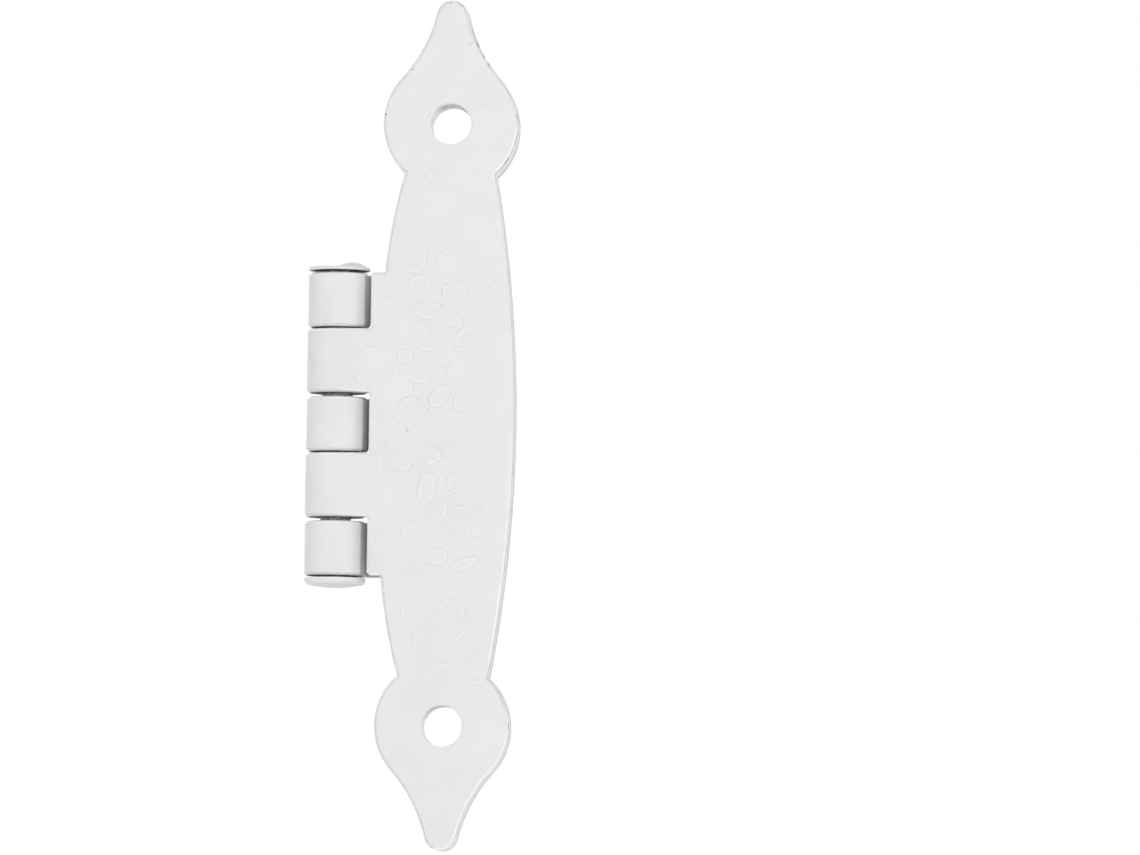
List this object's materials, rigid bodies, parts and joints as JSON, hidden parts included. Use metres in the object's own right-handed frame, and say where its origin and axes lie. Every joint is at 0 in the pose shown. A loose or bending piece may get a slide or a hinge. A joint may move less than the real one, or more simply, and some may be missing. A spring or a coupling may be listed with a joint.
{
  "type": "butterfly hinge",
  "caption": "Surface-mounted cabinet hinge: two spear-ended hammered leaves, folded together, with rolled knuckles turning on a headed pin.",
  "frame": {"origin": "centre of the back leaf's two screw holes, on the face that lies on the mounting surface", "axes": "+X from the knuckles towards the leaves' free edges, +Y out of the back leaf into the mounting surface, +Z along the pin towards its peened end"},
  "size_m": [0.0219, 0.0065, 0.0888],
  "materials": {
    "leaf_paint": "satin white powder coat over a hammered surface",
    "pin_paint": "satin white powder coat, smooth"
  },
  "bodies": {
    "back": {"back_leaf": "leaf_paint", "hinge_pin": "pin_paint"},
    "front": {"front_leaf": "leaf_paint"}
  },
  "joints": [
    {"name": "leaf_swing", "type": "hinge", "parent": "back", "child": "front", "pos_m": [-0.0116, -0.00321, 0], "axis": [0, 0, -1], "range_deg": [-9, 270]}
  ]
}
